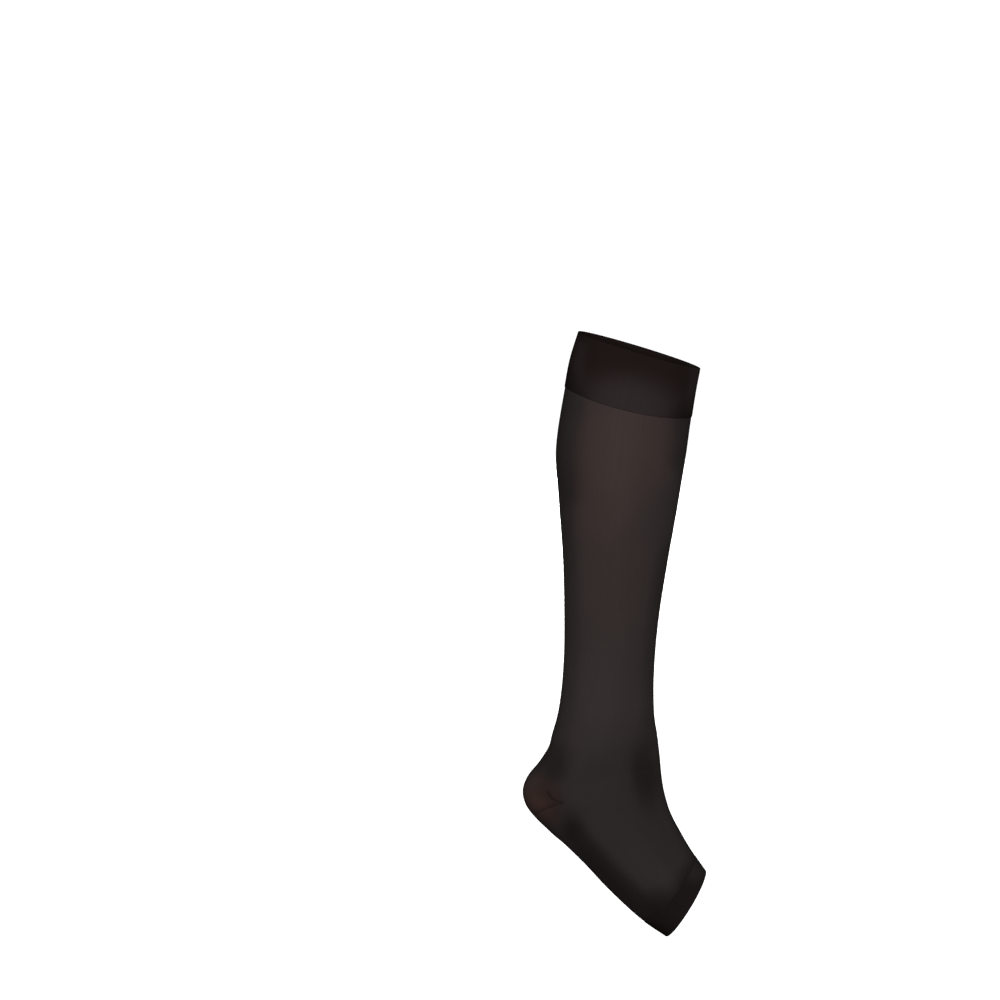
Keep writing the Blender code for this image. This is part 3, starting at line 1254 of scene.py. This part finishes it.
# ------------------------------------------------------------------ linking stitches
@dataclass(frozen=True)
class StitchTree:
    """Geometry Nodes that lay V-shaped stitches along a line on the cloth."""

    name: str = "linking_stitches"
    segments: int = 6
    rings: int = 5
    spread: float = 0.42            # how far aside a strand lies, as a share of its length

    def build(self) -> NodeTree:
        """Makes the tree.

        Returns:
            A tree with inputs Pitch, Length, Thickness, Slant, Uneven, Seed and Thread.
        """
        tree = bpy.data.node_groups.new(self.name, "GeometryNodeTree")
        kinds = {"Geometry": "Geometry"}
        kinds |= dict.fromkeys(("Pitch", "Length", "Thickness", "Slant", "Uneven"), "Float")
        kinds |= {"Seed": "Int", "Thread": "Material"}
        for name, kind in kinds.items():
            tree.interface.new_socket(name=name, in_out="INPUT", socket_type=f"NodeSocket{kind}")
        tree.interface.new_socket(name="Geometry", in_out="OUTPUT", socket_type="NodeSocketGeometry")
        chain = NodeChain(tree)
        given = chain.add("NodeGroupInput").outputs
        line = chain.wired("GeometryNodeMeshToCurve", {"Mesh": given["Geometry"]})
        places = chain.wired(
            "GeometryNodeResampleCurve", {"Curve": line, "Length": given["Pitch"]}, mode="LENGTH"
        )
        stitches = chain.wired("GeometryNodeInstanceOnPoints", {
            "Points": places,
            "Instance": self._stitch(chain, given),
            "Rotation": self._turn(chain),
            "Scale": self._scale(chain, given),
        })
        realized = chain.wired("GeometryNodeRealizeInstances", {"Geometry": stitches})
        dressed = chain.wired("GeometryNodeSetMaterial", {"Geometry": realized, "Material": given["Thread"]})
        chain.add("NodeGroupOutput", dressed)
        return tree

    def _stitch(self, chain: NodeChain, given: NodeOutputs) -> NodeSocket:
        """One stitch: two slanted strands that meet in a V.

        Args:
            chain: the tree's nodes.
            given: the tree's inputs.

        Returns:
            The stitch's geometry.
        """
        ball = chain.add("GeometryNodeMeshUVSphere", self.segments, self.rings, 1.0).outputs[0]
        half = chain.maths("MULTIPLY", given["Length"], 0.5)
        thick = given["Thickness"]
        size = chain.add("ShaderNodeCombineXYZ", half, thick, thick).outputs[0]
        join = chain.add("GeometryNodeJoinGeometry")
        for sense in (1.0, -1.0):
            turn = chain.maths("MULTIPLY", given["Slant"], sense)
            aside = chain.maths("MULTIPLY", half, self.spread * sense)
            strand = chain.wired("GeometryNodeTransform", {
                "Geometry": ball,
                "Translation": chain.add("ShaderNodeCombineXYZ", 0.0, aside, 0.0).outputs[0],
                "Rotation": chain.add("ShaderNodeCombineXYZ", 0.0, 0.0, turn).outputs[0],
                "Scale": size,
            })
            chain.link(join, {"Geometry": strand})
        return join.outputs[0]

    def _turn(self, chain: NodeChain) -> NodeSocket:
        """Rotation that lays a stitch along the line, with its top away from the cloth.

        Args:
            chain: the tree's nodes.

        Returns:
            The rotation.
        """
        align = "FunctionNodeAlignRotationToVector"
        tangent = chain.add("GeometryNodeInputTangent").outputs[0]
        out = chain.add("GeometryNodeInputNamedAttribute", OUT_NAME, data_type="FLOAT_VECTOR").outputs[0]
        along = chain.add(align, None, 1.0, tangent, axis="X").outputs[0]
        return chain.add(align, along, 1.0, out, axis="Z", pivot_axis="X").outputs[0]

    def _scale(self, chain: NodeChain, given: NodeOutputs) -> NodeSocket:
        """Uneven sizes of the stitches, from the tree's seed.

        Args:
            chain: the tree's nodes.
            given: the tree's inputs.

        Returns:
            A scale for each stitch.
        """
        low = chain.maths("SUBTRACT", 1.0, given["Uneven"])
        high = chain.maths("ADD", 1.0, given["Uneven"])
        size = chain.wired(
            "FunctionNodeRandomValue", {"Min": low, "Max": high, "Seed": given["Seed"]}, data_type="FLOAT"
        )
        return chain.add("ShaderNodeCombineXYZ", size, size, size).outputs[0]


@dataclass
class StitchRow:
    """A row of linking stitches along a line on the cloth.

    Each number is the value of the tree's input of that name, in metres or radians.
    """

    name: str
    slot: str
    pitch: float
    length: float
    thickness: float
    slant: float = math.radians(24)
    uneven: float = 0.12
    seed: int = 7

    def build(
        self, points: np.ndarray, outward: np.ndarray, closed: bool, tree: NodeTree, thread: Material
    ) -> Object:
        """Lays the stitches and turns them into a plain mesh.

        Args:
            points: points of the line, in metres.
            outward: outward unit vectors there.
            closed: whether the line runs back to its start.
            tree: the Geometry Nodes tree of the stitches.
            thread: material of the stitches.

        Returns:
            The piece.
        """
        count = len(points)
        edges = [(i, (i + 1) % count) for i in range(count if closed else count - 1)]
        mesh = bpy.data.meshes.new(self.name)
        mesh.from_pydata(points.tolist(), edges, [])
        out = mesh.attributes.new(OUT_NAME, "FLOAT_VECTOR", "POINT")
        out.data.foreach_set("vector", outward.reshape(-1))
        piece = in_scene(self.name, mesh)

        modifier = piece.modifiers.new("stitches", "NODES")
        modifier.node_group = tree
        values = {name.capitalize(): value for name, value in vars(self).items()} | {"Thread": thread}
        for item in tree.interface.items_tree:
            if item.in_out == "INPUT" and item.name in values:
                modifier[item.identifier] = values[item.name]
        make_plain(piece)
        piece.data.shade_smooth()
        place_piece(piece)
        return piece


def make_plain(piece: Object) -> None:
    """Makes a plain mesh of a piece.

    Args:
        piece: the piece, whose mesh becomes what its modifiers make of it, and which loses them.
    """
    bpy.context.view_layer.update()
    depsgraph = bpy.context.evaluated_depsgraph_get()
    mesh = bpy.data.meshes.new_from_object(piece.evaluated_get(depsgraph))
    piece.modifiers.clear()
    old, piece.data = piece.data, mesh
    mesh.name = piece.name
    bpy.data.meshes.remove(old)


# ------------------------------------------------------------------------ the studio
@dataclass(frozen=True)
class SoftBox:
    """A large soft lamp that isn't seen itself: angles in degrees, lengths in metres, power in watts."""

    name: str
    azimuth: float
    elevation: float
    distance: float
    size: float
    power: float
    gloss: bool = True

    def build(self, target: Vector) -> None:
        """Hangs the lamp.

        Args:
            target: the point that it shines at.
        """
        lamp = bpy.data.lights.new(self.name, "AREA")
        lamp.shape, lamp.size, lamp.energy = "DISK", self.size, self.power
        holder = facing(target, lamp, self.azimuth, self.elevation, self.distance)
        holder.visible_camera = False
        holder.visible_glossy = self.gloss


def facing(target: Vector, data: ID, azimuth: float, elevation: float, distance: float) -> Object:
    """Sets up a lamp or a camera so that it faces a point.

    Args:
        target: the point.
        data: the lamp or the camera.
        azimuth: where it stands, in degrees: 0 looks along +Y and 90 along -X.
        elevation: its height above the horizon, in degrees.
        distance: how far from the point it stands, in metres.

    Returns:
        Its object.
    """
    turn, rise = math.radians(azimuth), math.radians(elevation)
    aside, up = math.cos(rise), math.sin(rise)
    holder = in_scene(data.name, data)
    holder.location = target + Vector((math.sin(turn) * aside, -math.cos(turn) * aside, up)) * distance
    holder.rotation_euler = (target - holder.location).to_track_quat("-Z", "Y").to_euler()
    return holder


@dataclass(frozen=True)
class Studio:
    """Pale floor, white surroundings, soft lamps and the camera."""

    aim: tuple[float, float, float] = (-0.1221, 0.0, -0.1326)
    distance: float = 3.7
    elevation: float = 6.0
    focal_pixels: float = 4204.5
    frame_pixels: float = 1000.0
    sensor: float = 36.0            # in millimetres
    far_end: float = 100.0
    floor_radius: float = 9.0
    floor_sides: int = 96
    floor_paint: float = 0.9
    floor_glow: float = 0.86        # how brightly the floor glows under the object,
    floor_pale: tuple[float, float] = (0.3, 3.0)    # and between which distances that grows
    white: float = 1.05             # to what the surroundings look like,
    ambient: float = 0.035          # and how much light they give
    lamps: tuple[SoftBox, ...] = (
        SoftBox("front_key", -2, 9, 4.4, 0.9, 190),
        SoftBox("back_key", 180, 12, 4.4, 0.9, 170, False),
        SoftBox("right_fill", 100, 16, 4.0, 1.2, 47),
        SoftBox("left_fill", -100, 16, 4.0, 1.2, 47),
    )

    def build(self) -> None:
        """Sets up everything round the object."""
        self._camera()
        self._floor()
        self._world()
        low, high = CAD_BOUNDS
        for lamp in self.lamps:
            lamp.build((low + high) / 2)
        bpy.context.scene.view_settings.view_transform = "Standard"
        LOG.info("studio: %d lamps", len(self.lamps))

    def _camera(self) -> None:
        """Puts the camera in front of the right-hand side, a little above it."""
        data = bpy.data.cameras.new("camera")
        data.sensor_width = self.sensor
        data.lens = self.focal_pixels * self.sensor / self.frame_pixels
        data.clip_end = self.far_end
        camera = facing(
            Vector(self.aim), data, azimuth=0, elevation=self.elevation, distance=self.distance
        )
        bpy.context.scene.camera = camera

    def _floor(self) -> None:
        """Lays a round pale floor under the object, which sends no light up to it."""
        height = CAD_BOUNDS[0].z
        turns = [2 * math.pi * i / self.floor_sides for i in range(self.floor_sides)]
        rim = [(self.floor_radius * math.cos(t), self.floor_radius * math.sin(t), height) for t in turns]
        mesh = bpy.data.meshes.new("floor")
        mesh.from_pydata(rim, [], [list(range(len(rim)))])
        mesh.materials.append(self._floor_finish())
        floor = in_scene("floor", mesh)
        floor.visible_diffuse = False
        floor.visible_glossy = False

    def _floor_finish(self) -> Material:
        """Pale matt paint that grows as white as the surroundings with distance.

        Returns:
            The floor's material.
        """
        paint = (self.floor_paint, self.floor_paint, self.floor_paint, 1.0)
        material, chain, shader = principled(
            "floor_paint", Base_Color=paint, Roughness=0.9, Specular_IOR_Level=0.0, Emission_Color=WHITE
        )
        place = chain.add("ShaderNodeTexCoord").outputs["Object"]
        distance = chain.add("ShaderNodeVectorMath", place, operation="LENGTH").outputs["Value"]
        glow = chain.add("ShaderNodeMapRange", distance, *self.floor_pale, self.floor_glow, self.white)
        glow.interpolation_type = "SMOOTHSTEP"
        chain.link(shader, {"Emission Strength": glow.outputs[0]})
        return material

    def _world(self) -> None:
        """Makes the surroundings white to the eye and dim as a light."""
        world = bpy.data.worlds.new("surroundings")
        bpy.context.scene.world = world
        world.use_nodes = True
        chain = NodeChain(world.node_tree)
        background = world.node_tree.nodes["Background"]
        background.inputs["Color"].default_value = WHITE
        seen = chain.add("ShaderNodeLightPath").outputs["Is Camera Ray"]
        strength = chain.add("ShaderNodeMapRange", seen, None, None, self.ambient, self.white)
        chain.link(background, {"Strength": strength.outputs[0]})


def main() -> None:
    """Builds the stocking round its frame, and the studio round the stocking."""
    logging.basicConfig(level=logging.INFO, format="%(name)s: %(message)s")
    Studio().build()
    form = StockingForm()
    tube = KnittedTube(form)
    net = tube.net()
    tube.build(net)

    top_band = FoldedBand(
        form, "top_band_knit", "top_band", TOP_OPENING, BAND_FOOT, proud=0.6 * MM, thickness=1.4 * MM,
        finish=DOUBLE_KNIT, cut=SheetCut(0.252, 0.046, 0.0112),
    )
    toe_band = FoldedBand(
        form, "toe_band_knit", "toe_band", TOE_BAND_FOOT, TOE_OPENING, proud=0.3 * MM, thickness=1.1 * MM,
        finish=TOE_KNIT, cut=SheetCut(0.170, 0.019, 0.0030),
    )
    for band in (top_band, toe_band):
        band.build()

    tree = StitchTree().build()
    thread = BLACK_THREAD.build()
    for band, end, name, length, thickness in (
        (top_band, -1, "band_linking", 1.2 * MM, 0.16 * MM),
        (toe_band, 0, "toe_linking", 1.1 * MM, 0.13 * MM),
    ):
        points, out = band.edge(end)
        row = StitchRow(name, "double_knit", pitch=1.1 * MM, length=length, thickness=thickness)
        row.build(points, out, closed=True, tree=tree, thread=thread)
    right, left = (net.on_surface(SUTURE, side, MM) for side in (Side.RIGHT, Side.LEFT))
    points, out = (np.vstack([first, second[::-1]]) for first, second in zip(right, left))
    row = StitchRow("heel_sutures", "heel_knit", pitch=1.3 * MM, length=1.3 * MM, thickness=0.16 * MM)
    row.build(points, out, closed=False, tree=tree, thread=thread)


if __name__ == "__main__":
    main()
